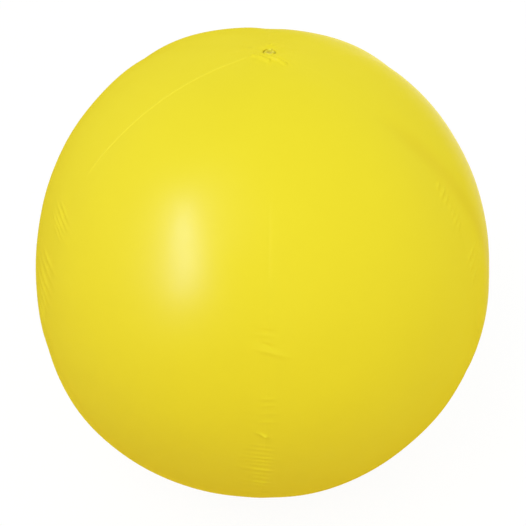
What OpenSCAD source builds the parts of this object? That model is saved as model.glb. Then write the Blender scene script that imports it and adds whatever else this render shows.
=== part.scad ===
// Inflatable ball of soft vinyl film: six welded gores with a push-in valve at the top pole.
// The origin is the middle of the patch that rests on the floor, with the poles along Z.
// One seam faces -Y.

/* [Ball] */
// Diameter over the crowns of the gores, at the equator
crown_d = 474; // [300:1:700]
// How much more the ball measures between its poles than over its crowns
pole_rise = 24; // [8:1:60]
// How far each seam is drawn in from the circle of the crowns, at the equator
seam_draw = 4.5; // [1:0.5:8]
// Diameter of the flat patch that the ball settles on
rest_flat_d = 60; // [30:1:90]

/* [Film] */
// Thickness of the vinyl film
film_t = 0.3; // [0.2:0.05:0.6]
// Width of the welded fin that each seam has on the inside
fin_w = 5; // [3:0.5:9]
// Gap between layers that are welded together
weld_gap = 0.15; // [0.1:0.05:0.3]

/* [Pole discs] */
// Diameter of the disc that covers the tips of the gores, inside each pole
disc_d = 44; // [36:1:70]
// Gap between the rim of a pole disc and the ends of the fins
disc_margin = 1; // [0.5:0.5:4]
// Diameter of the hole for the valve in the top pole
pole_hole_d = 12.8; // [12.4:0.1:16]

/* [Valve body] */
// Diameter of the flange that is welded under the top disc
flange_d = 28; // [22:1:34]
// Thickness of the flange
flange_t = 0.8; // [0.5:0.1:1.5]
// Wall of the soft collar that turns inside out
collar_t = 0.5; // [0.3:0.05:0.8]
// Length of the stem, from its rim to its foot
stem_l = 11; // [9:0.5:16]
// Diameter of the bore that the air goes through
bore_d = 5.2; // [4.6:0.1:5.6]
// Wall of the stem
stem_wall = 1.2; // [0.9:0.1:1.4]
// Diameter of the rim that the plug's head closes on
rim_d = 10.8; // [10:0.1:11.4]
// Thickness of the rim
rim_t = 0.7; // [0.5:0.1:1.2]
// Diameter of the foot that the collar hangs from
foot_d = 10; // [9:0.1:10.4]
// Thickness of the foot
foot_t = 1; // [0.6:0.1:1.6]

/* [Plug] */
// Diameter of the plug's head
head_d = 8.8; // [8:0.1:9.2]
// Thickness of the plug's head
head_t = 1.3; // [0.9:0.1:1.6]
// Bevel around the top of the head
head_bevel = 0.3; // [0.1:0.05:0.5]
// How far the head lies below the film around it
head_recess = 0.2; // [0.1:0.1:0.6]
// Length of the stopper
stopper_l = 3; // [2:0.1:3.4]
// Diameter of the stopper's tip, which swings clear of the bore
stopper_tip_d = 2; // [1:0.1:2.2]
// Gap between the stopper and the mouth of the bore
stopper_clear = 0.08; // [0.05:0.01:0.2]
// Gap between the closed plug and the stem
seat_gap = 0.1; // [0.05:0.05:0.2]
// Width of the pull tab
tab_w = 3; // [2:0.1:3.4]
// How far the pull tab stands out from the head
tab_l = 0.9; // [0.5:0.1:1]
// Thickness of the pull tab
tab_t = 0.7; // [0.4:0.1:0.9]
// Width of the tether
tether_w = 3.2; // [2:0.1:4]
// Thickness of the tether
tether_t = 0.4; // [0.3:0.05:0.6]
// Distance from the head's edge to the bend of the tether
tether_l = 0.7; // [0.5:0.05:0.8]

/* [Check flap] */
// Diameter of the flap that closes the inner end of the bore
flap_d = 7; // [6.4:0.1:8]
// Thickness of the flap
flap_t = 0.5; // [0.3:0.05:0.8]
// Width of the land between the bore and the flap's welded edge
flap_land = 0.5; // [0.3:0.05:0.6]

/* [Hidden] */

gore_n = 6;
half_gore = 180 / gore_n;
first_seam = -90;
film_yellow = [0.94, 0.88, 0.20];
disc_yellow = [0.90, 0.82, 0.20];
valve_milk = [0.87, 0.79, 0.30];
spare = 10;
ball_fn = 180;
valve_fn = 64;

// Along a gore the crown line is one arc from pole to pole, centred a little beyond the axis.
crown_r = crown_d / 2;
pole_r = (crown_d + pole_rise) / 2;
arc_r = (crown_r * crown_r + pole_r * pole_r) / (2 * crown_r);
set_back = arc_r - crown_r;

// Across a gore the film is an arc through the crown and both seams.
seam_r = crown_r - seam_draw;
crown_rise = crown_r - seam_r * cos(half_gore);
seam_y = seam_r * sin(half_gore);
cross_r = (crown_rise * crown_rise + seam_y * seam_y) / (2 * crown_rise);

// Height of the crown line above or below the equator, at a distance from the axis
function crown_height(from_axis) = sqrt(pow(arc_r, 2) - pow(from_axis + set_back, 2));

// The ball settles until the flat is as wide as given. The mouth is the edge of the valve's hole.
centre_z = crown_height(rest_flat_d / 2);
top_z = centre_z + pole_r;
mouth_z = centre_z + crown_height(pole_hole_d / 2);

// Depths of the layers under the outside of the film at the top pole
disc_depth = film_t + weld_gap;
flange_depth = disc_depth + film_t + weld_gap;

// Heights along the valve, from the mouth
head_top = -head_recess;
head_end = head_top - head_t;
rim_top = head_end - seat_gap;
foot_end = rim_top - stem_l;
collar_top = -flange_depth - flange_t / 2;
flap_top = foot_end - seat_gap;

// Radii and places across the valve
bore_r = bore_d / 2;
stem_r = bore_r + stem_wall;
head_r = head_d / 2;
flange_bore_d = pole_hole_d + 2 * collar_t;
hinge_y = head_r + tether_l;

// Everything inside the skin on the +X side, with the skin of the gore there set in by inset.
module half_ball(inset) {
    difference() {
        translate([-set_back, 0, centre_z])
            rotate([90, 90, 0])
                rotate_extrude(angle = 180, $fn = ball_fn)
                    intersection() {
                        translate([arc_r - cross_r, 0])
                            circle(r = cross_r - inset, $fn = ball_fn);
                        translate([set_back, -seam_y - spare])
                            square([arc_r, 2 * (seam_y + spare)]);
                    }
        translate([-crown_d, -crown_d, inset - crown_d])
            cube([2 * crown_d, 2 * crown_d, crown_d]);
    }
}

// The layer between two depths under the outside of the film
module skin_layer(outer, inner) {
    difference() {
        half_ball(outer);
        half_ball(inner);
    }
}

// The space between two seams, half a weld gap inside both
module gore_wedge() {
    far_y = crown_d * tan(half_gore);
    translate([weld_gap / 2 / sin(half_gore), 0, -spare])
        linear_extrude(top_z + 2 * spare)
            polygon([[0, 0], [crown_d, -far_y], [crown_d, far_y]]);
}

module seam_slabs() {
    slab_t = 2 * film_t + weld_gap;
    for (side = [-1, 1])
        rotate([0, 0, side * half_gore])
            translate([disc_d / 2 + disc_margin, -slab_t / 2, 0])
                cube([crown_d, slab_t, top_z]);
}

// Film and its two turned-in fins, between two seams
module gore(number) {
    color(film_yellow)
        rotate([0, 0, first_seam + (2 * number - 1) * half_gore])
            difference() {
                intersection() {
                    gore_wedge();
                    union() {
                        skin_layer(0, film_t);
                        intersection() {
                            skin_layer(film_t / 2, fin_w);
                            seam_slabs();
                        }
                    }
                }
                translate([0, 0, centre_z])
                    cylinder(d = pole_hole_d, h = pole_r + spare, $fn = valve_fn);
            }
}

// A domed ring that lies at a given depth under the top pole
module pole_ring(outer_d, inner_d, depth, thickness) {
    translate([0, 0, centre_z])
        rotate_extrude($fn = valve_fn)
            intersection() {
                translate([-set_back, 0])
                    difference() {
                        circle(r = arc_r - depth, $fn = ball_fn);
                        circle(r = arc_r - depth - thickness, $fn = ball_fn);
                    }
                translate([inner_d / 2, 0])
                    square([(outer_d - inner_d) / 2, arc_r]);
            }
}

module top_disc() {
    color(disc_yellow)
        pole_ring(disc_d, pole_hole_d, disc_depth, film_t);
}

module bottom_disc() {
    color(disc_yellow)
        translate([0, 0, film_t + weld_gap])
            cylinder(d = disc_d, h = film_t, $fn = valve_fn);
}

module valve_flange() {
    color(valve_milk)
        pole_ring(flange_d, flange_bore_d, flange_depth, flange_t);
}

// Parts of the valve are drawn from the middle of the mouth, with the tether towards +Y.
module at_mouth() {
    color(valve_milk)
        translate([0, 0, mouth_z])
            children();
}

// Soft cone from the flange down to the stem's foot, which turns inside out as the stem is pulled up
module valve_collar() {
    top_r = flange_bore_d / 2 - weld_gap;
    foot_r = foot_d / 2 + weld_gap;
    at_mouth()
        rotate_extrude($fn = valve_fn)
            polygon([
                [top_r, collar_top],
                [top_r - collar_t, collar_top],
                [foot_r, foot_end + foot_t],
                [foot_r, foot_end],
                [foot_r + collar_t, foot_end],
                [foot_r + collar_t, foot_end + foot_t],
                [top_r, collar_top - collar_t]
            ]);
}

module valve_stem() {
    post_y = hinge_y - tether_t / 2;
    post_top = head_top - tether_t / 2 - seat_gap;
    at_mouth() {
        rotate_extrude($fn = valve_fn)
            polygon([
                [bore_r, foot_end],
                [foot_d / 2, foot_end],
                [foot_d / 2, foot_end + foot_t],
                [stem_r, foot_end + foot_t],
                [stem_r, rim_top - rim_t],
                [rim_d / 2, rim_top - rim_t],
                [rim_d / 2, rim_top],
                [bore_r, rim_top]
            ]);
        translate([-tether_w / 2, post_y, rim_top - rim_t])
            cube([tether_w, tether_t, post_top - rim_top + rim_t]);
    }
}

// Head and tapered stopper, with a pull tab at the front and the tether at the back
module valve_plug() {
    stopper_r = bore_r - stopper_clear;
    at_mouth() {
        rotate_extrude($fn = valve_fn)
            polygon([
                [0, head_top],
                [head_r - head_bevel, head_top],
                [head_r, head_top - head_bevel],
                [head_r, head_end],
                [stopper_r, head_end],
                [stopper_r, rim_top],
                [stopper_tip_d / 2, rim_top - stopper_l],
                [0, rim_top - stopper_l]
            ]);
        translate([0, 0, head_end])
            intersection() {
                cylinder(r = head_r + tab_l, h = tab_t, $fn = valve_fn);
                translate([-tab_w / 2, -head_r - tab_l, 0])
                    cube([tab_w, tab_l + head_r / 2, tab_t]);
            }
        translate([-tether_w / 2, head_r / 2, head_top - tether_t / 2])
            cube([tether_w, hinge_y - head_r / 2, tether_t]);
    }
}

// Thin flap with a straight welded edge, which the air inside presses against the foot
module check_flap() {
    at_mouth()
        translate([0, 0, flap_top - flap_t])
            intersection() {
                cylinder(d = flap_d, h = flap_t, $fn = valve_fn);
                translate([-flap_d, bore_r + flap_land - 2 * flap_d, 0])
                    cube([2 * flap_d, 2 * flap_d, flap_t]);
            }
}

gore(1);  // gore_1
gore(2);  // gore_2
gore(3);  // gore_3
gore(4);  // gore_4
gore(5);  // gore_5
gore(6);  // gore_6
top_disc();
bottom_disc();
valve_flange();
valve_collar();
valve_stem();
valve_plug();
check_flap();
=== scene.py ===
# %% [markdown]
# # An inflatable ball
# This lesson dresses the CAD model of a yellow vinyl ball for its photograph. The CAD gives the true
# sizes and the joints of the valve. Blender adds what a welded film looks like once it is blown up:
# the lines of the welds with a paler highlight painted along them, the puckers across the welds, and the
# gloss of soft vinyl.
# Everything is in metres and in the CAD's own frame, with the valve at the top.

# %% Frame
import math

import bpy
import numpy as np
from mathutils import Matrix, Quaternion, Vector


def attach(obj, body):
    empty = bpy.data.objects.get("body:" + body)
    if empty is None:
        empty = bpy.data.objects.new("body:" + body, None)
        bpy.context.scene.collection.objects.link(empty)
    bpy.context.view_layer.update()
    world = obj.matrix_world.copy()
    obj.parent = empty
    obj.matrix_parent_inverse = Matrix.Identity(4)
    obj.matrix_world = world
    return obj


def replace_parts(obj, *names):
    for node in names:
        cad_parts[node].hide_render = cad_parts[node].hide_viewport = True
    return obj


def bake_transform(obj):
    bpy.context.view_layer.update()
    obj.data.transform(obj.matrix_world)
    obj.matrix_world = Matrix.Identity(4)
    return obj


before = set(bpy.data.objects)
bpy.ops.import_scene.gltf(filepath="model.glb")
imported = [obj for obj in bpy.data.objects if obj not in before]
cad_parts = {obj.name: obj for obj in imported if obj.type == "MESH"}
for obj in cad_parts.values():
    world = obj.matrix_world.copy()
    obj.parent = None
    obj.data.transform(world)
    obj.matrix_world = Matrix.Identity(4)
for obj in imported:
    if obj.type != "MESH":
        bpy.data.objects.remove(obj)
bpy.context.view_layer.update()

# %% [markdown]
# ## The shape of one gore
# A gore is a pointed strip of film from pole to pole. Blown up, its middle line (the crown) is close to
# an arc, and so is every line across it, because air pushes a film into even curves. Two arcs are
# therefore enough, and a formula is easier to refine later than a sculpted mesh: more rows or columns
# never change the shape. Here the crown lies along +X, `angle` climbs from the lower pole to the upper
# one, and `across` runs sideways from the crown. Where the gore meets its neighbours has no short
# formula, so `seam_offset` repeats an estimate until it has settled.

# %% Shape of one gore
GORES = 6
HALF_GORE = math.pi / GORES
CROWN_R = 0.237
POLE_R = 0.249
SEAM_DRAW = 0.0045
REST_FLAT_R = 0.030
SEARCH_STEPS = 40
ARC_R = (CROWN_R**2 + POLE_R**2) / (2 * CROWN_R)
SET_BACK = ARC_R - CROWN_R
POLE_ANGLE = math.acos(SET_BACK / ARC_R)
SEAM_R = CROWN_R - SEAM_DRAW
CROWN_RISE = CROWN_R - SEAM_R * math.cos(HALF_GORE)
CROSS_R = (CROWN_RISE**2 + (SEAM_R * math.sin(HALF_GORE)) ** 2) / (2 * CROWN_RISE)
CENTRE_Z = math.sqrt(ARC_R**2 - (REST_FLAT_R + SET_BACK) ** 2)


def gore_point(angle, across):
    """Points of the outside of the film, and its normals there."""
    lean = np.sqrt(1 - (across / CROSS_R) ** 2)
    reach = ARC_R - CROSS_R + CROSS_R * lean
    out, up = np.cos(angle), np.sin(angle)
    point = np.stack([reach * out - SET_BACK, across, CENTRE_Z + reach * up], axis=-1)
    normal = np.stack([lean * out, across / CROSS_R, lean * up], axis=-1)
    return point, normal


def seam_offset(angle):
    """How far from the crown line the seams lie, where the gore meets its neighbours."""
    across = np.zeros_like(angle)
    for _ in range(SEARCH_STEPS):
        point, _ = gore_point(angle, across)
        across = np.maximum(point[..., 0], 0) * math.tan(HALF_GORE)
    return across


print("crown radius", CROWN_R, "seam radius", SEAM_R, "height", round(CENTRE_Z + POLE_R, 4))

# %% [markdown]
# ## A grid over the gore
# The film gets a grid of points. Columns crowd towards the seams, where the small folds are, and stay
# wide over the smooth crown. `share` says how far a column lies from the crown (0) to a seam (1 or -1).
# At the top each column stops at the hole for the valve, so the end of a column is found by halving an
# interval. At the bottom the six tips meet in a point that the inner disc covers. `along` measures up
# the film, and `seam_along` does the same in the plane of the nearer seam, so that two neighbouring
# films agree on it and a pucker runs straight on across the weld.

# %% Grid over the gore
ROWS = 640
HALF_COLUMNS = 26
CROWDING = 2.2
HOLE_R = 0.0064
TIP_R = 0.0004


def angle_at_radius(share, radius):
    """The angle near the pole where each column comes this close to the axis."""
    low = np.zeros_like(share)
    high = np.full_like(share, POLE_ANGLE)
    for _ in range(SEARCH_STEPS):
        middle = (low + high) / 2
        point, _ = gore_point(middle, share * seam_offset(middle))
        outside = np.hypot(point[..., 0], point[..., 1]) > radius
        low = np.where(outside, middle, low)
        high = np.where(outside, high, middle)
    return low


to_crown = (np.arange(HALF_COLUMNS + 1) / HALF_COLUMNS) ** CROWDING
share = np.concatenate([to_crown - 1, (1 - to_crown)[-2::-1]])
bottom_angle = -angle_at_radius(share, TIP_R)
top_angle = angle_at_radius(share, HOLE_R)
climb = np.linspace(0, 1, ROWS + 1)[:, None]
angle = bottom_angle + climb * (top_angle - bottom_angle)
seam_across = seam_offset(angle)
across = share * seam_across
film_point, film_normal = gore_point(angle, across)
axis_distance = np.hypot(film_point[..., 0], film_point[..., 1])
seam_distance = seam_across - np.abs(across)
along = ARC_R * angle
seam_reach = film_point[..., 0] * math.cos(HALF_GORE) + np.abs(across) * math.sin(HALF_GORE)
seam_out = seam_reach * math.cos(HALF_GORE) + SET_BACK
seam_along = ARC_R * np.arctan2(film_point[..., 2] - CENTRE_Z, seam_out)
print("grid", angle.shape, "rows", round(1000 * ARC_R * 2 * POLE_ANGLE / ROWS, 2), "mm apart")

# %% [markdown]
# ## Seams
# Two films are welded face to face, and the narrow fin points inwards. From outside a seam is the
# valley between two gores, with a fine bead in it where the heated vinyl was squeezed out. Some seams
# also sink into a wider dip. The valley is partly filled, because film with a welded fin behind it
# can't turn a sharp corner. Close to the pole the inner disc holds the film flat, so all of this fades
# out there. Both films of a seam have to rise in one direction, or a slit opens between them. So
# `film_lift` is the film's normal, and loses its sideways part as it comes to the seam.

# %% Seams
BEAD_HEIGHT, BEAD_WIDTH = 0.00022, 0.0006
DIP_WIDTH = 0.015
VALLEY_SHARE, VALLEY_WIDTH = 0.8, 0.008
DISC_R = 0.022
DISC_HOLD, DISC_EDGE = 0.016, 0.004
LIFT_POWER = 8


def fade(value, start, end):
    """0 up to start, 1 from end, and smooth between them."""
    step = np.clip((value - start) / (end - start), 0, 1)
    return step * step * (3 - 2 * step)


free_film = fade(axis_distance, DISC_R, DISC_R + DISC_HOLD)
off_disc = fade(axis_distance, DISC_R - DISC_EDGE, DISC_R + DISC_EDGE)
bead = BEAD_HEIGHT * np.exp(-((seam_distance / BEAD_WIDTH) ** 2)) * off_disc
dip = np.exp(-((seam_distance / DIP_WIDTH) ** 2)) * free_film

right_side = np.array([-math.sin(HALF_GORE), math.cos(HALF_GORE), 0])
left_side = right_side * np.array([-1, 1, 1])
edge_slope = film_normal[:, [-1]] @ right_side
valley = VALLEY_WIDTH * np.exp(-seam_distance / VALLEY_WIDTH)
valley_fill = VALLEY_SHARE * edge_slope * valley * free_film

seam_side = np.where(share[:, None] < 0, left_side, right_side)
sideways_part = (film_normal * seam_side).sum(axis=-1) * share**LIFT_POWER
film_lift = film_normal - sideways_part[..., None] * seam_side
print("seam bead", 1000 * BEAD_HEIGHT, "mm high, valley filled by up to",
      round(1000 * valley_fill.max(), 2), "mm")

# %% [markdown]
# ## No two seams alike
# The seams of the real ball differ. The one at the left catches the light as a bright line, the one in
# front shows a faint line in its upper part only, and they aren't evenly spaced. So each seam gets its
# own values. `seam_depth` is the depth of its dip. `weld_shine` says how strongly its bead and the
# painted highlight along its weld show, and from which height to which, in metres above the equator
# along the film. `seam_wander` is how many degrees it lies off its even place.

# %% No two seams alike
FRONT, RIGHT, BACK_RIGHT, BACK, BACK_LEFT, LEFT = range(GORES)
SHINE_FADE = 0.015
seam_depth = {
    FRONT: 0.0, RIGHT: 0.0005, BACK_RIGHT: 0.0010,
    BACK: 0.0010, BACK_LEFT: 0.0010, LEFT: 0.0003,
}
weld_shine = {
    FRONT: (0.35, 0.165, 0.240), RIGHT: (0.15, 0.20, 0.36), BACK_RIGHT: (0.3, 0.05, 0.30),
    BACK: (0.3, 0.10, 0.36), BACK_LEFT: (0.4, 0.0, 0.25), LEFT: (1.1, 0.190, 0.40),
}
seam_wander = {
    FRONT: 0.2, RIGHT: 1.0, BACK_RIGHT: 0.5,
    BACK: -1.0, BACK_LEFT: -3.5, LEFT: -6.0,
}


def shine_along(seam):
    """How strongly the bead and the painted highlight of a seam's weld show at each point along it."""
    strength, low, high = weld_shine[seam]
    begun = fade(along, low, low + SHINE_FADE)
    ended = fade(along, high - SHINE_FADE, high)
    return strength * begun * (1 - ended)


print("seams off their even places by up to", max(abs(off) for off in seam_wander.values()), "degrees")

# %% [markdown]
# ## Puckers along the seams
# A flat film can't follow a curved seam without spare length, so it gathers in short ridges that cross
# the weld. They could be sculpted, but a list is easier to change. Each group below is one stretch of a
# seam: where it starts and ends (metres above the equator, along the film), how far apart and how high
# the ridges are, how far they reach to the left and to the right, and how much they lean. A height
# below zero makes a groove, and a very short stretch makes a single ridge. A seeded generator makes
# every ridge a little different, and always the same way.

# %% Puckers along the seams
HEIGHT_SHARE, HEIGHT_SPREAD = 0.80, 0.30
WIDTH_SHARE, WIDTH_SPREAD, LEAST_WIDTH = 0.20, 0.04, 0.0015
REACH_SPREAD, LEAN_SPREAD, PITCH_SPREAD = 0.35, 0.07, 0.16
puckers = {
    FRONT: [
        (-0.180, -0.100, 0.0110, 0.0005, 0.012, 0.006, -0.26),
        (-0.096, -0.040, 0.0100, 0.0015, 0.013, 0.005, -0.30),
        (-0.038, -0.008, 0.0075, 0.0008, 0.012, 0.006, -0.24),
        (0.006, 0.007, 0.0080, 0.0030, 0.005, 0.002, -0.85),
        (0.026, 0.066, 0.0100, 0.0005, 0.006, 0.008, 0.06),
        (0.1066, 0.107, 0.0120, 0.0021, 0.006, 0.014, -0.34),
        (0.1131, 0.114, 0.0085, -0.0011, 0.011, 0.005, -0.46),
        (0.1190, 0.120, 0.0085, -0.0004, 0.011, 0.004, -0.12),
        (0.1260, 0.127, 0.0085, -0.0009, 0.009, 0.005, -0.16),
    ],
    RIGHT: [
        (-0.150, 0.020, 0.0090, 0.0005, 0.020, 0.018, 0.10),
        (0.095, 0.130, 0.0120, 0.0014, 0.004, 0.014, 0.05),
        (0.155, 0.205, 0.0075, 0.0010, 0.006, 0.006, 0.10),
    ],
    BACK_RIGHT: [
        (-0.160, -0.020, 0.0085, 0.00100, 0.022, 0.018, -0.12),
        (0.050, 0.130, 0.0090, 0.00070, 0.016, 0.018, 0.15),
    ],
    BACK: [
        (-0.140, 0.010, 0.0080, 0.00100, 0.020, 0.024, 0.10),
        (0.080, 0.150, 0.0100, 0.00060, 0.018, 0.016, -0.20),
    ],
    BACK_LEFT: [
        (-0.150, -0.010, 0.0085, 0.00100, 0.020, 0.020, 0.12),
        (0.040, 0.120, 0.0090, 0.00070, 0.016, 0.018, -0.15),
    ],
    LEFT: [
        (-0.150, -0.010, 0.0110, 0.0006, 0.020, 0.018, -0.10),
        (0.012, 0.100, 0.0140, 0.0013, 0.020, 0.016, -0.02),
        (0.126, 0.152, 0.0062, 0.0010, 0.016, 0.013, -0.06),
    ],
}
dice = np.random.default_rng(7)


def ridges_of(group):
    """The single ridges of one group, as (place, height, width, left reach, right reach, lean)."""
    start, end, pitch, height, left, right, lean = group
    ridges = []
    place = start
    while place < end:
        wild = dice.uniform(-1, 1, 5)
        reach = 1 + REACH_SPREAD * wild[2]
        ridges.append((
            place,
            height * (HEIGHT_SHARE + HEIGHT_SPREAD * wild[0]),
            max(pitch * (WIDTH_SHARE + WIDTH_SPREAD * wild[1]), LEAST_WIDTH),
            left * reach,
            right * reach,
            lean + LEAN_SPREAD * wild[3],
        ))
        place += pitch * (1 + PITCH_SPREAD * wild[4])
    return ridges


seam_ridges = {
    seam: [ridge for group in groups for ridge in ridges_of(group)]
    for seam, groups in puckers.items()
}


def pucker_height(seam, along, sideways):
    """Height of a seam's puckers at points this far along it and to its right."""
    total = np.zeros_like(along)
    for place, height, width, left, right, lean in seam_ridges[seam]:
        reach = np.where(sideways < 0, left, right)
        off = along - place - lean * sideways
        total += height * np.exp(-((off / width) ** 2) - (sideways / reach) ** 2)
    return total


print("puckers", {seam: len(ridges) for seam, ridges in seam_ridges.items()})

# %% [markdown]
# ## The long crease
# At the right of the ball a soft, dark band runs down the film. It is a long, shallow crease that leaves
# the right seam high up and drifts away from it on the way down. The function below gives 1 along its
# middle and 0 away from it. That one map is used twice: it lowers the film, and it darkens the colour
# there as painted shade.

# %% The long crease
CREASE_TOP, CREASE_TURN, CREASE_WIDTH, CREASE_DEPTH = 0.270, 0.255, 0.011, 0.0006
CREASE_FOOT = (0.00, 0.10)
CREASE_HEAD = (CREASE_TOP - 0.04, CREASE_TOP + 0.02)


def crease_beside(seam, sideways):
    """1 along the middle of the long crease beside a seam, fading to 0 on both sides."""
    if seam != RIGHT:
        return np.zeros_like(along)
    middle = CREASE_TURN * (CREASE_TOP - along)
    ends = fade(along, *CREASE_FOOT) * (1 - fade(along, *CREASE_HEAD))
    return np.exp(-(((sideways - middle) / CREASE_WIDTH) ** 2)) * ends


print("long crease", 1000 * CREASE_DEPTH, "mm deep")

# %% [markdown]
# ## Folds around the valve
# The film is also gathered where it is welded to the valve's stiff flange. It puffs up in a low ring
# around the hole, and bright folds lie across that ring, the strongest of them in front of the valve.
# Each fold is a straight stretch, given by its two ends in the plane of the pole, its height and its
# width. Weaker ones run outwards right round the valve. The rim of the inner disc shows through as a
# low step.

# %% Folds around the valve
PUFF_HEIGHT, PUFF_R, PUFF_WIDTH = 0.0012, 0.0130, 0.005
SMALL_FOLDS, SMALL_FOLD_WIDTH, BEARING_SPREAD = 14, 0.0016, 0.15
SMALL_FOLD_INNER, SMALL_FOLD_OUTER, SMALL_FOLD_HEIGHT = (0.009, 0.013), (0.019, 0.034), (0.0001, 0.0003)
FOLD_ZONE_R = 0.06
HOLE_MARGIN = 0.003
DISC_STEP, DISC_STEP_WIDTH = 0.00012, 0.001
pole_folds = [
    ((-0.0080, -0.0068), (0.0135, -0.0185), 0.0019, 0.0015),
    ((-0.0150, -0.0070), (-0.0010, -0.0170), 0.0012, 0.0016),
    ((0.0005, 0.0095), (0.0030, 0.0150), 0.0012, 0.0030),
    ((0.0100, 0.0160), (0.0140, 0.0240), 0.0008, 0.0030),
    ((-0.0160, 0.0050), (-0.0260, 0.0090), 0.0004, 0.0016),
]
for turn in np.arange(SMALL_FOLDS) * 2 * math.pi / SMALL_FOLDS:
    bearing = turn + dice.uniform(-BEARING_SPREAD, BEARING_SPREAD)
    inner = dice.uniform(*SMALL_FOLD_INNER)
    outer = dice.uniform(*SMALL_FOLD_OUTER)
    heading = np.array([math.cos(bearing), math.sin(bearing)])
    height = dice.uniform(*SMALL_FOLD_HEIGHT)
    pole_folds.append((inner * heading, outer * heading, height, SMALL_FOLD_WIDTH))


def fold_height(x, y):
    """Height of the folds around the valve at points of the pole's plane."""
    total = np.zeros_like(x)
    for start, end, height, width in pole_folds:
        start, end = np.array(start), np.array(end)
        length = np.linalg.norm(end - start)
        ahead = (end - start) / length
        forward = (x - start[0]) * ahead[0] + (y - start[1]) * ahead[1]
        beside = (y - start[1]) * ahead[0] - (x - start[0]) * ahead[1]
        past_end = np.maximum(np.maximum(-forward, forward - length), 0)
        total += height * np.exp(-(beside**2 + past_end**2) / width**2)
    return total


def valve_height(point):
    """Height of all that the valve does to the film: the puffed ring, the folds and the disc's rim."""
    on_top = (along > 0) & (axis_distance < FOLD_ZONE_R)
    beyond_hole = fade(axis_distance, HOLE_R, HOLE_R + HOLE_MARGIN)
    puff = PUFF_HEIGHT * np.exp(-(((axis_distance - PUFF_R) / PUFF_WIDTH) ** 2))
    gathered = puff + fold_height(point[..., 0], point[..., 1])
    past_rim = fade(axis_distance, DISC_R - DISC_STEP_WIDTH, DISC_R + DISC_STEP_WIDTH)
    return np.where(on_top, gathered, 0) * beyond_hole + DISC_STEP * (1 - past_rim)


print("folds around the valve", len(pole_folds))

# %% [markdown]
# ## Bulges and waves
# A blown-up ball is never quite round: where the film gave way a little more, it bulges by a few
# millimetres, and the outline in the photo shows where. Each bulge below is a soft hill with a bearing
# (0 in front, 90 at the right) and a climb above the equator in degrees, a height, and a spread in
# degrees. Three crossing sine waves add a shallow unevenness that keeps the film from looking turned
# on a lathe.

# %% Bulges and waves
BULGE_FULL_R = 0.12
WAVE_HEIGHT, WAVE_MARGIN, WAVE_SQUEEZE = 0.00016, 0.02, 0.7
WAVE_SCALES = (31.0, 47.0, 73.0)
bulges = [
    (-132, 55, 0.0060, 22), (130, 55, 0.0042, 24), (-54, -17, 0.0045, 24), (62, -9, 0.0050, 22),
    (-80, 14, -0.0042, 20), (82, 10, -0.0016, 18), (14, -35, 0.0020, 20), (180, 64, -0.0005, 12),
]


def bulge_height(point):
    """Height of the broad bulges, which leave the film around both poles as it is."""
    heading = point - np.array([0, 0, CENTRE_Z])
    heading = heading / np.linalg.norm(heading, axis=-1, keepdims=True)
    total = np.zeros(heading.shape[:-1])
    for bearing, climb, height, spread in bulges:
        turn, rise = math.radians(bearing), math.radians(climb)
        level = math.cos(rise)
        middle = np.array([math.sin(turn) * level, -math.cos(turn) * level, math.sin(rise)])
        off = np.degrees(np.arccos(np.clip(heading @ middle, -1, 1)))
        total += height * np.exp(-((off / spread) ** 2))
    return total * fade(axis_distance, DISC_R, BULGE_FULL_R)


def waves():
    """Shallow unevenness of the next gore's film, up to about half a millimetre."""
    total = np.zeros_like(along)
    for scale in WAVE_SCALES:
        phase = dice.uniform(0, 2 * math.pi, 2)
        total += np.sin(scale * along + phase[0]) * np.cos(WAVE_SQUEEZE * scale * across + phase[1])
    return WAVE_HEIGHT * total * free_film * fade(seam_distance, 0, WAVE_MARGIN)


print("bulges", len(bulges))

# %% [markdown]
# ## Fins and lip
# Each side of a film ends in a fin: the edge turns in and hangs from the seam, just beside its
# neighbour's. Around the hole the film curls in and down to where the valve is welded on. Both are
# extra columns and rows of the same grid, so a whole gore is clean quads without any cutting.

# %% Fins and lip
FILM_T = 0.0003
FIN, LEAST_FIN = 0.005, 0.0004
FIN_STEPS = (0.2, 0.5, 1.0)
LIP_IN, LIP_DOWN = 0.00075, 0.0011
LIP_STEPS = np.radians([25, 50, 75, 95])


def fin_columns(skin, normal, turn):
    """The points of both fins of a gore, as columns to set before and after those of its skin."""
    depth = np.maximum(FIN * free_film[:, [0]], LEAST_FIN)
    sides = []
    for edge, side in ((0, -1), (-1, 1)):
        beside = turn[edge] + side * HALF_GORE
        inward = -side * 0.5 * FILM_T * np.array([-math.sin(beside), math.cos(beside), 0])
        sides.append([skin[:, edge] - step * depth * normal[:, edge] + inward for step in FIN_STEPS])
    return sides[0][::-1], sides[1]


def lip_rows(hole_edge):
    """The points of the curled lip, as rows to set after the one along the hole."""
    inward = hole_edge * np.array([-1, -1, 0]) / HOLE_R
    downward = np.array([0, 0, -1])
    return [
        hole_edge + LIP_IN * math.sin(curl) * inward + LIP_DOWN * (1 - math.cos(curl)) * downward
        for curl in LIP_STEPS
    ]


print("fins", 1000 * FIN, "mm deep, lip", 1000 * LIP_DOWN, "mm deep")

# %% [markdown]
# ## Building the film
# Now the heights are added up, and the film moves by their sum along `film_lift`. Where the ball rests,
# points below the floor are eased up to it. Two maps go along as attributes of the mesh, because the
# finish needs them later: a painted highlight along the weld, and painted shade in the hollow of the
# long crease.

# %% Building the film
FLOOR_EASE = 0.0006
WELD_HIGHLIGHT_WIDTH = 0.0011
FIRST_SEAM = math.radians(-90)


def add_mesh(name, points, faces):
    """A smooth mesh object from points and faces."""
    mesh = bpy.data.meshes.new(name)
    mesh.from_pydata([tuple(point) for point in points], [], faces)
    mesh.polygons.foreach_set("use_smooth", [True] * len(mesh.polygons))
    mesh.update()
    piece = bpy.data.objects.new(name, mesh)
    bpy.context.scene.collection.objects.link(piece)
    return piece


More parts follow.
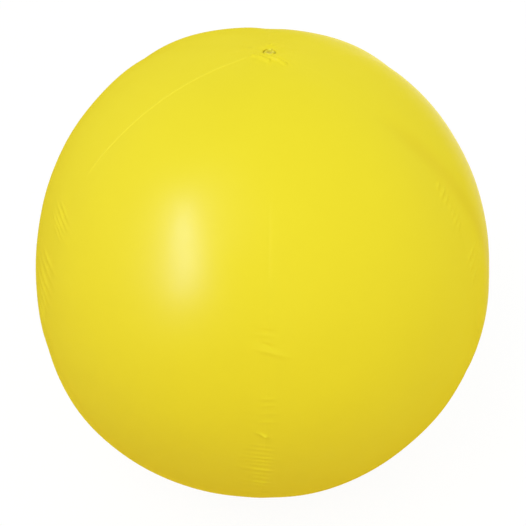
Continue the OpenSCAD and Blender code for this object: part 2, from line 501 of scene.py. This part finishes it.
def turned(vectors, turn):
    """Vectors turned about the ball's axis."""
    x, y, z = np.moveaxis(vectors, -1, 0)
    cos, sin = np.cos(turn), np.sin(turn)
    return np.stack([x * cos - y * sin, x * sin + y * cos, z], axis=-1)


def by_side(left, right):
    """Values for the left half of a gore and for its right half, put together."""
    return np.where(share < 0, left, right)


def gore_film(number):
    """The film of one gore with its fins and lip, as a grid of points, and the maps of its painted weld
    highlight and crease shade.
    """
    left, right = number - 1, number % GORES
    wander = [math.radians(seam_wander[seam]) for seam in (left, right)]
    turn = FIRST_SEAM + (2 * number - 1) * HALF_GORE + np.interp(share, [-1, 1], wander)
    point, normal, lift = (turned(vectors, turn) for vectors in (film_point, film_normal, film_lift))

    gathers = by_side(pucker_height(left, seam_along, seam_distance),
                      pucker_height(right, seam_along, -seam_distance))
    shine = by_side(shine_along(left), shine_along(right))
    sunk = by_side(seam_depth[left], seam_depth[right]) * dip
    # The crease map lowers the film here, and the finish uses it again to paint shade into the crease.
    crease_and_shade = by_side(crease_beside(left, seam_distance), crease_beside(right, -seam_distance))
    height = shine * bead + valley_fill - sunk - CREASE_DEPTH * crease_and_shade + waves()
    height = height + gathers * free_film + bulge_height(point) + valve_height(point)
    skin = point + height[..., None] * lift

    before, after = fin_columns(skin, normal, turn)
    grid = np.stack(before + list(np.moveaxis(skin, 1, 0)) + after, axis=1)
    grid = np.concatenate([grid] + lip_rows(grid[-1:]))
    grid[..., 2] = (grid[..., 2] + np.sqrt(grid[..., 2] ** 2 + FLOOR_EASE**2)) / 2

    # Painted highlight: a paler colour is painted along each weld's bead, and this map says where.
    weld_highlight = shine * np.exp(-((seam_distance / WELD_HIGHLIGHT_WIDTH) ** 2)) * off_disc
    margins = ((0, len(LIP_STEPS)), (len(FIN_STEPS), len(FIN_STEPS)))
    maps = {"weld_highlight": weld_highlight, "crease_and_shade": crease_and_shade}
    return grid, {name: np.pad(values, margins, mode="edge") for name, values in maps.items()}


films = []
for number in range(1, GORES + 1):
    grid, maps = gore_film(number)
    rows, columns = grid.shape[:2]
    corner = np.arange(rows * columns).reshape(rows, columns)
    quads = np.stack([corner[:-1, :-1], corner[:-1, 1:], corner[1:, 1:], corner[1:, :-1]], axis=-1)
    film = add_mesh(f"film_gore_{number}", grid.reshape(-1, 3), quads.reshape(-1, 4).tolist())
    for name, values in maps.items():
        film.data.attributes.new(name, "FLOAT", "POINT").data.foreach_set("value", values.ravel())
    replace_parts(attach(film, "skin"), f"gore_{number}")
    films.append(film)
print("films", len(films), "faces each", len(films[0].data.polygons))

# %% [markdown]
# ## A lathe for the valve
# The valve is a soft moulding. Seen from outside only the plug's head shows, in its recess, but it is
# all there, because the stem can be pulled up and the plug opened. A lathe suits round parts: a profile
# of radius and height pairs is turned about the axis. Moulded vinyl has no sharp edges, so the corners
# of a profile are rounded first. Heights are measured from the mouth, the edge of the hole in the film.

# %% Lathe for the valve
MOUTH_Z = CENTRE_Z + math.sqrt(ARC_R**2 - (HOLE_R + SET_BACK) ** 2)
MM = 0.001
SEGMENTS = 72
ON_AXIS = 1e-6
ROUND_POINTS, LONGEST_CUT = 5, 0.45


def from_mouth(x, y, z):
    """A point given in millimetres from the middle of the mouth."""
    return (x * MM, y * MM, MOUTH_Z + z * MM)


def rounded(profile, radius, closed):
    """The profile with its corners cut back by up to this radius and rounded."""
    points = [np.array(point, float) for point in profile]
    result = []
    for n, point in enumerate(points):
        if not closed and n in (0, len(points) - 1):
            result.append(point)
            continue
        ends = []
        for other in (points[n - 1], points[(n + 1) % len(points)]):
            length = np.linalg.norm(other - point)
            ends.append(point + min(radius, LONGEST_CUT * length) * (other - point) / length)
        for t in np.linspace(0, 1, ROUND_POINTS):
            result.append((1 - t) ** 2 * ends[0] + 2 * t * (1 - t) * point + t**2 * ends[1])
    return result


def lathe(name, profile, closed):
    """A profile in millimetres from the mouth, turned about the axis."""
    points, rings, faces = [], [], []
    for radius, height in profile:
        first = len(points)
        count = SEGMENTS if radius > ON_AXIS else 1
        for n in range(count):
            turn = 2 * math.pi * n / SEGMENTS
            points.append(from_mouth(radius * math.cos(turn), radius * math.sin(turn), height))
        rings.append([first + n % count for n in range(SEGMENTS)])
    followers = rings[1:] + rings[:1] if closed else rings[1:]
    for upper, lower in zip(rings, followers):
        for n in range(SEGMENTS):
            beside = (n + 1) % SEGMENTS
            loop = [upper[n], lower[n], lower[beside], upper[beside]]
            faces.append([corner for i, corner in enumerate(loop) if corner != loop[i - 1]])
    return add_mesh(name, points, faces)


print("mouth of the valve at", round(MOUTH_Z, 5))

# %% [markdown]
# ## Stem and plug
# The stem is a tube with a foot at its inner end and a rim that the plug closes on. The plug has a
# dished head with a rounded edge, and below it a stopper that tapers so that it jams in the bore. Each
# is one profile. The stem's is a closed loop around the wall of the tube, and the plug's runs from the
# axis at the top to the axis at the bottom.

# %% Stem and plug
STEM_ROUND, PLUG_ROUND = 0.25, 0.3
stem_profile = [
    (2.6, -12.6), (5.0, -12.6), (5.0, -11.6), (3.8, -11.6),
    (3.8, -2.3), (5.4, -2.3), (5.4, -1.6), (2.6, -1.6),
]
stem = lathe("stem_tube", rounded(stem_profile, STEM_ROUND, True), True)
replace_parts(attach(stem, "stem"), "valve_stem")

plug_profile = [
    (0, -0.9), (1.5, -0.8), (2.6, -0.4), (3.4, -0.1), (4.2, -0.2), (4.7, -0.7), (4.7, -1.4),
    (2.52, -1.5), (2.52, -1.7), (1.0, -4.6), (0, -4.6),
]
plug = lathe("plug_head", rounded(plug_profile, PLUG_ROUND, False), False)
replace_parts(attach(plug, "plug"), "valve_plug")
print("stem and plug", len(stem.data.polygons), len(plug.data.polygons))

# %% [markdown]
# ## Tab and tether
# A small lip at the front lets a fingernail open the plug, and a strap at the back keeps it from
# getting lost. Both are ribbons: a path with a flat, rounded section swept along it. The strap is soft,
# so it isn't cut into two stiff halves at the hinge.

# %% Tab and tether
SECTION_POINTS = 20
WIDE_POWER, FLAT_POWER = 0.4, 0.6
TAB_WIDTH, TAB_T, TAB_Z = 3.0, 0.7, -1.15
TAB_ROUND_FROM, TAB_ROUND, TAB_TIP = 4.4, 1.0, 0.05
STRAP_WIDTH, STRAP_T, STRAP_Z = 3.2, 0.4, -0.2
POST_Y, BEND_R = 5.1, 0.35


def squared(value, power):
    """A sine or cosine drawn outwards, which turns a circle into a rounded box."""
    return math.copysign(abs(value) ** power, value)


def ribbon(name, path, widths, thickness):
    """A flat strip along a path of (y, z) pairs, in millimetres from the mouth."""
    path = np.array(path, float)
    ahead = np.gradient(path, axis=0)
    ahead /= np.linalg.norm(ahead, axis=1)[:, None]
    turns = np.arange(SECTION_POINTS) * 2 * math.pi / SECTION_POINTS
    section = [(squared(math.cos(t), WIDE_POWER), squared(math.sin(t), FLAT_POWER)) for t in turns]
    points = []
    for (y, z), (dy, dz), width in zip(path, ahead, widths):
        for side, lift in section:
            off = 0.5 * thickness * lift
            points.append(from_mouth(0.5 * width * side, y - off * dz, z + off * dy))
    corner = np.arange(len(points)).reshape(len(path), SECTION_POINTS)
    beside = np.roll(corner, -1, axis=1)
    quads = np.stack([corner[:-1], beside[:-1], beside[1:], corner[1:]], axis=-1)
    ends = [corner[0, ::-1].tolist(), corner[-1].tolist()]
    return add_mesh(name, points, quads.reshape(-1, 4).tolist() + ends)


tab_reach = np.linspace(-3.9, -5.3, 12)
past_round = np.clip(-tab_reach - TAB_ROUND_FROM, 0, None) / TAB_ROUND
tab_widths = TAB_WIDTH * np.sqrt(np.clip(1 - past_round**2, TAB_TIP, 1))
tab = ribbon("pull_tab", [(y, TAB_Z) for y in tab_reach], tab_widths, TAB_T)
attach(tab, "plug")

rise = [(POST_Y, z) for z in (-2.0, -1.6, -1.1)]
bend = [
    (POST_Y - BEND_R + BEND_R * math.cos(turn), STRAP_Z - BEND_R + BEND_R * math.sin(turn))
    for turn in np.linspace(0, math.pi / 2, 9)
]
run = [(y, STRAP_Z) for y in (4.5, 4.2, 3.9)]
strap_path = rise + bend + run
strap = ribbon("tether_strap", strap_path, [STRAP_WIDTH] * len(strap_path), STRAP_T)
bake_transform(strap)
print("strap", len(strap.data.polygons), "faces")

# %% [markdown]
# ## Collar
# The stem hangs in a thin cone of soft vinyl. When the valve is pulled up for blowing, this cone turns
# inside out like a sock. It is a lathe part too, with many rings.

# %% Collar
COLLAR_TOP, COLLAR_FOOT = -1.3, -12.6
COLLAR_R, COLLAR_FLARE, FLARE_POWER = 5.2, 1.05, 6
COLLAR_T, COLLAR_RINGS = 0.30, 22
fall = np.linspace(0, 1, COLLAR_RINGS)
collar_height = COLLAR_TOP + (COLLAR_FOOT - COLLAR_TOP) * fall
collar_radius = COLLAR_R + COLLAR_FLARE * (1 - fall) ** FLARE_POWER
inside = list(zip(collar_radius, collar_height))
outside = list(zip(collar_radius + COLLAR_T, collar_height))
collar = lathe("collar_cone", inside + outside[::-1], True)
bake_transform(collar)
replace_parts(collar, "valve_collar")
print("collar", len(collar.data.polygons), "faces")

# %% [markdown]
# ## Writing shader maths as sums
# Node trees are easier to read as formulas. `Wire` stands for one output socket, and adding,
# subtracting or multiplying wires adds the Math nodes. `Finish` fills one node tree, and its `node`
# method adds any other kind of node from its type, its settings and what goes into its sockets.

# %% Shader helpers
MIX_SHARE, MIX_FIRST, MIX_SECOND, MIX_RESULT = 0, 6, 7, 2


class Wire:
    """One output socket of a node tree, with arithmetic."""

    def __init__(self, tree, socket):
        self.tree = tree
        self.socket = socket

    def math(self, operation, first, second):
        node = self.tree.nodes.new("ShaderNodeMath")
        node.operation = operation
        plug_in(self.tree, node.inputs[0], first)
        plug_in(self.tree, node.inputs[1], second)
        return Wire(self.tree, node.outputs[0])

    def __add__(self, other):
        return self.math("ADD", self, other)

    def __radd__(self, other):
        return self.math("ADD", other, self)

    def __sub__(self, other):
        return self.math("SUBTRACT", self, other)

    def __rsub__(self, other):
        return self.math("SUBTRACT", other, self)

    def __mul__(self, other):
        return self.math("MULTIPLY", self, other)

    def __rmul__(self, other):
        return self.math("MULTIPLY", other, self)


def plug_in(tree, socket, value):
    """Links a wire to a socket, or sets the socket to a value."""
    if isinstance(value, Wire):
        tree.links.new(value.socket, socket)
    else:
        socket.default_value = value


class Finish:
    """A node tree that is filled in step by step."""

    def __init__(self, owner):
        owner.use_nodes = True
        self.tree = owner.node_tree
        self.tree.nodes.clear()

    def node(self, kind, settings, inputs, output=0):
        made = self.tree.nodes.new(kind)
        for name, value in settings.items():
            setattr(made, name, value)
        for name, value in inputs.items():
            plug_in(self.tree, made.inputs[name], value)
        return Wire(self.tree, made.outputs[output])

    def noise(self, where, scale, detail):
        inputs = {"Vector": where, "Scale": scale, "Detail": detail}
        return self.node("ShaderNodeTexNoise", {}, inputs, "Fac")

    def stored_map(self, name):
        return self.node("ShaderNodeAttribute", {"attribute_name": name}, {}, "Fac")

    def blend_colours(self, share, first, second):
        inputs = {MIX_SHARE: share, MIX_FIRST: first, MIX_SECOND: second}
        return self.node("ShaderNodeMix", {"data_type": "RGBA"}, inputs, MIX_RESULT)

    def smooth_range(self, value, start, end, top):
        """0 where the value is at most start, top where it is at least end, and smooth between."""
        inputs = {"Value": value, "From Min": start, "From Max": end, "To Min": 0.0, "To Max": top}
        return self.node("ShaderNodeMapRange", {"interpolation_type": "SMOOTHSTEP"}, inputs)

    def end(self, kind, surface):
        plug_in(self.tree, self.tree.nodes.new(kind).inputs["Surface"], surface)


print("shader helpers ready")

# %% [markdown]
# ## Yellow vinyl film
# Calendered vinyl is coloured all through and has a soft gloss. Its yellow is nearly even, with faint
# cloudy differences in thickness. A paler yellow along the weld beads is a painted highlight, and a
# deeper one in the hollow of the long crease is painted shade. Hands leave the gloss uneven, which is
# roughness noise, and a fine grain breaks up the reflections.
#
# The gloss gets rougher where the film turns away from the eye. Without that, the white surroundings
# would draw a pale line all round the ball. The photo shows such a line only at the upper right, so
# only the film at the back right gets a clear coat. The yellow sheen brightens the same turned-away
# film a little, as light does that has run through soft vinyl.

# %% Yellow vinyl film
YELLOW = (0.86, 0.724, 0.026, 1)
# The deep yellow serves both for the film's cloudy tone and for the painted shade in the long crease.
DEEP_YELLOW_AND_SHADE = (0.80, 0.638, 0.020, 1)
WELD_HIGHLIGHT_YELLOW = (0.93, 0.795, 0.046, 1)
SHEEN_YELLOW = (1.0, 0.85, 0.02, 1)
BACK_RIGHT_HEADING = (0.50, 0.85, -0.16)
COAT_FROM, COAT_FULL, COAT_MOST = -0.03, 0.09, 0.80
vinyl = bpy.data.materials.new("yellow_vinyl_film")
finish = Finish(vinyl)
where = finish.node("ShaderNodeTexCoord", {}, {}, "Object")
clouds = finish.noise(where, 14.0, 3.0)
smudges = finish.noise(where, 55.0, 4.0)
grain = finish.noise(where, 1500.0, 2.0)
colour = finish.blend_colours(0.30 * clouds, YELLOW, DEEP_YELLOW_AND_SHADE)
# Painted highlight along the weld beads, in a paler yellow.
colour = finish.blend_colours(0.6 * finish.stored_map("weld_highlight"), colour, WELD_HIGHLIGHT_YELLOW)
# Painted shade in the hollow of the long crease.
colour = finish.blend_colours(0.7 * finish.stored_map("crease_and_shade"), colour, DEEP_YELLOW_AND_SHADE)
relief = finish.node("ShaderNodeBump", {}, {"Strength": 0.08, "Distance": 0.0004, "Height": grain})
facing = finish.node("ShaderNodeLayerWeight", {}, {"Blend": 0.35}, "Facing")
towards_back = finish.node("ShaderNodeVectorMath", {"operation": "DOT_PRODUCT"}, {
    0: where, 1: BACK_RIGHT_HEADING}, "Value")
coat = finish.smooth_range(towards_back, COAT_FROM, COAT_FULL, COAT_MOST)
skin_shader = finish.node("ShaderNodeBsdfPrincipled", {}, {
    "Base Color": colour,
    "Roughness": 0.25 + 0.10 * smudges + 0.75 * facing,
    "IOR": 1.5,
    "Specular IOR Level": 0.12,
    "Coat Weight": coat,
    "Coat Roughness": 0.20,
    "Sheen Weight": 0.40,
    "Sheen Roughness": 0.35,
    "Sheen Tint": SHEEN_YELLOW,
    "Normal": relief,
})
finish.end("ShaderNodeOutputMaterial", skin_shader)
for film in films:
    film.data.materials.append(vinyl)
for name in ("top_disc", "bottom_disc"):
    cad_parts[name].data.materials.clear()
    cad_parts[name].data.materials.append(vinyl)
print("vinyl nodes", len(vinyl.node_tree.nodes))

# %% [markdown]
# ## Milky vinyl of the valve
# The valve is moulded from clear vinyl that has gone milky. Light scatters inside it, which the
# Subsurface inputs do, and it takes its tint from the yellow around it. It is rougher than the film,
# with a mottled bloom. One function makes two finishes. The body is pale, and the plug is painted
# darker towards the middle of its head, as painted shade in its dished recess; that is the greyish spot
# on top.

# %% Milky vinyl of the valve
# The darker colours take the mottling, and the plug's also the painted shade at the middle of its head.
BODY_PALE, BODY_DULL, BODY_SHADE_R = (0.95, 0.83, 0.10, 1), (0.86, 0.73, 0.09, 1), 0.002
PLUG_PALE, PLUG_MOTTLED_AND_SHADED, PLUG_SHADE_R = (0.92, 0.78, 0.05, 1), (0.58, 0.45, 0.045, 1), 0.0042
SHADE_CORE = 0.3
FLAT = (1, 1, 0)


def valve_vinyl(name, pale, mottled_and_shaded, dish_shade_r):
    """Milky vinyl that scatters light, mottled, and painted darker within a distance of the axis, as
    painted shade.
    """
    made = bpy.data.materials.new(name)
    finish = Finish(made)
    where = finish.node("ShaderNodeTexCoord", {}, {}, "Object")
    bloom = finish.noise(where, 420.0, 3.0)
    fine = finish.noise(where, 2600.0, 2.0)
    sideways = finish.node("ShaderNodeVectorMath", {"operation": "MULTIPLY"}, {0: where, 1: FLAT})
    radius = finish.node("ShaderNodeVectorMath", {"operation": "LENGTH"}, {0: sideways}, "Value")
    # Painted shade within a distance of the axis, which darkens the middle of the plug's dished head.
    dish_shade = 1 - finish.smooth_range(radius, SHADE_CORE * dish_shade_r, dish_shade_r, 1.0)
    relief = finish.node("ShaderNodeBump", {}, {"Strength": 0.15, "Distance": 0.0002, "Height": fine})
    shader = finish.node("ShaderNodeBsdfPrincipled", {}, {
        "Base Color": finish.blend_colours(0.25 * bloom + 0.75 * dish_shade, pale, mottled_and_shaded),
        "Roughness": 0.36 + 0.15 * bloom,
        "Specular IOR Level": 0.08,
        "Subsurface Weight": 0.6,
        "Subsurface Radius": (1.0, 0.8, 0.3),
        "Subsurface Scale": 0.002,
        "Normal": relief,
    })
    finish.end("ShaderNodeOutputMaterial", shader)
    return made


body_vinyl = valve_vinyl("valve_body_vinyl", BODY_PALE, BODY_DULL, BODY_SHADE_R)
plug_vinyl = valve_vinyl("valve_plug_vinyl", PLUG_PALE, PLUG_MOTTLED_AND_SHADED, PLUG_SHADE_R)
finishes = {
    body_vinyl: (stem, collar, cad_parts["valve_flange"]),
    plug_vinyl: (plug, tab, strap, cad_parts["check_flap"]),
}
for made, pieces in finishes.items():
    for piece in pieces:
        piece.data.materials.clear()
        piece.data.materials.append(made)
print("valve finishes", [made.name for made in finishes])

# %% [markdown]
# ## White set
# The photo shows the ball cut out on white. The world and the floor look white to the camera and to
# reflections, and give less to the ball itself, so the background can't wash out the yellow. A tenth of
# the floor's white is an ordinary surface, which keeps a pale shadow under the ball. For all other
# rays the floor is a warm tan, and that tints the light it throws up at the underside.

# %% White set
WHITE, TAN = (1, 1, 1, 1), (0.66, 0.47, 0.21, 1)
FILL = 0.51
GLOW, GLOW_SHARE = 1.02, 0.90
FLOOR_HALF, FLOOR_DROP = 6.0, 0.0003


def seen_directly(finish):
    """1 for rays from the camera, reflections and through clear things, 0 for the rest."""
    rays = [finish.node("ShaderNodeLightPath", {}, {}, name)
            for name in ("Is Camera Ray", "Is Glossy Ray", "Is Transmission Ray")]
    either = rays[0] + rays[1] + rays[2]
    return finish.node("ShaderNodeClamp", {}, {"Value": either})


world = bpy.data.worlds.new("white_set")
bpy.context.scene.world = world
finish = Finish(world)
strength = FILL + (1 - FILL) * seen_directly(finish)
backdrop = finish.node("ShaderNodeBackground", {}, {"Color": WHITE, "Strength": strength})
finish.end("ShaderNodeOutputWorld", backdrop)

corners = [(x * FLOOR_HALF, y * FLOOR_HALF, 0) for x, y in ((-1, -1), (1, -1), (1, 1), (-1, 1))]
floor = add_mesh("white_floor", corners, [[0, 1, 2, 3]])
floor.location.z = -FLOOR_DROP
floor_white = bpy.data.materials.new("floor_white")
finish = Finish(floor_white)
bounce = finish.node("ShaderNodeBsdfDiffuse", {}, {"Color": TAN})
shaded = finish.node("ShaderNodeBsdfDiffuse", {}, {"Color": WHITE})
glow = finish.node("ShaderNodeEmission", {}, {"Color": WHITE, "Strength": GLOW})
white = finish.node("ShaderNodeMixShader", {}, {0: GLOW_SHARE, 1: shaded, 2: glow})
surface = finish.node("ShaderNodeMixShader", {}, {0: seen_directly(finish), 1: bounce, 2: white})
finish.end("ShaderNodeOutputMaterial", surface)
floor.data.materials.append(floor_white)
print("fill light", FILL)

# %% [markdown]
# ## Lamps
# A tall, narrow softbox at the front left makes the soft upright highlight. Its place comes from the
# photo: the ray to the highlight is mirrored by the film there, and points to the lamp. A lamp can be
# hidden from some kinds of rays. This one shows only in the gloss, so its strength sets the highlight
# and leaves the shading alone, and its cool tint comes out nearly white on yellow film. The other four
# only shade: a broad one from the upper left, two weaker ones from the right, and a warm one from
# behind, where a plain one would turn the yellow greenish.

# %% Lamps
BALL = Vector((0, 0, CENTRE_Z))
COOL, PLAIN, WARM = (0.45, 0.65, 1.0), (0.93, 1.0, 0.90), (1.0, 0.88, 0.62)
NEAR, FAR = 2.0, 2.2
LEVEL, TILTED, UPRIGHT = (0, 1, 0), (0, 0.74, 0.68), (0, 0, 1)


def softbox(name, towards, distance, size, watts, upright, role, tint):
    """A rectangular light that faces the ball, with its second side along a given direction."""
    lamp = bpy.data.lights.new(name, "AREA")
    lamp.shape = "RECTANGLE"
    lamp.size, lamp.size_y = size
    lamp.energy = watts
    lamp.color = tint
    holder = bpy.data.objects.new(name, lamp)
    back = Vector(towards).normalized()
    side = Vector(upright).cross(back).normalized()
    up = back.cross(side)
    facing_ball = Matrix((side, up, back)).transposed().to_4x4()
    holder.matrix_world = Matrix.Translation(BALL + distance * back) @ facing_ball
    holder.visible_diffuse = role == "shading"
    holder.visible_glossy = role == "highlight"
    bpy.context.scene.collection.objects.link(holder)


softbox("strip_softbox", (-0.562, -0.590, 0.550), NEAR, (0.28, 1.30), 63, TILTED, "highlight", COOL)
softbox("front_softbox", (-0.42, -0.48, 0.77), FAR, (1.4, 1.4), 25.0, LEVEL, "shading", PLAIN)
softbox("side_softbox", (0.80, -0.55, 0.16), FAR, (1.4, 0.6), 10.2, UPRIGHT, "shading", PLAIN)
softbox("rim_softbox", (0.84, 0.40, 0.36), FAR, (1.4, 0.5), 6.5, UPRIGHT, "shading", PLAIN)
softbox("back_softbox", (0.0, 0.94, 0.34), FAR, (1.4, 0.8), 8.0, UPRIGHT, "shading", WARM)
print("lamps", [item.name for item in bpy.data.lights])

# %% [markdown]
# ## Camera
# The photo was taken from about 40 degrees above the floor, close enough to see the valve at the top
# and the rest of the ball fall away below. The small roll puts the valve right of the middle, and the
# shifts, given in pixels of the photo, put the ball where it stands in the picture.

# %% Camera
EYE_DISTANCE = 0.942
ELEVATION = math.radians(40.1)
BEARING = math.radians(-2.1)
ROLL = math.radians(2.25)
SENSOR_MM, LENS_MM = 36.0, 60.42
PHOTO_SIDE_PX = 526
SHIFT_X_PX, SHIFT_Y_PX = 2.0, 3.3
away = Vector((
    math.sin(BEARING) * math.cos(ELEVATION),
    -math.cos(BEARING) * math.cos(ELEVATION),
    math.sin(ELEVATION),
))
lens = bpy.data.cameras.new("camera")
lens.sensor_width = SENSOR_MM
lens.lens = LENS_MM
lens.shift_x = SHIFT_X_PX / PHOTO_SIDE_PX
lens.shift_y = SHIFT_Y_PX / PHOTO_SIDE_PX
camera = bpy.data.objects.new("camera", lens)
camera.location = BALL + EYE_DISTANCE * away
camera.rotation_mode = "QUATERNION"
camera.rotation_quaternion = away.to_track_quat("Z", "Y") @ Quaternion((0, 0, 1), ROLL)
bpy.context.scene.collection.objects.link(camera)
bpy.context.scene.camera = camera
bpy.context.scene.view_settings.view_transform = "Standard"
print("camera at", tuple(round(v, 3) for v in camera.location))
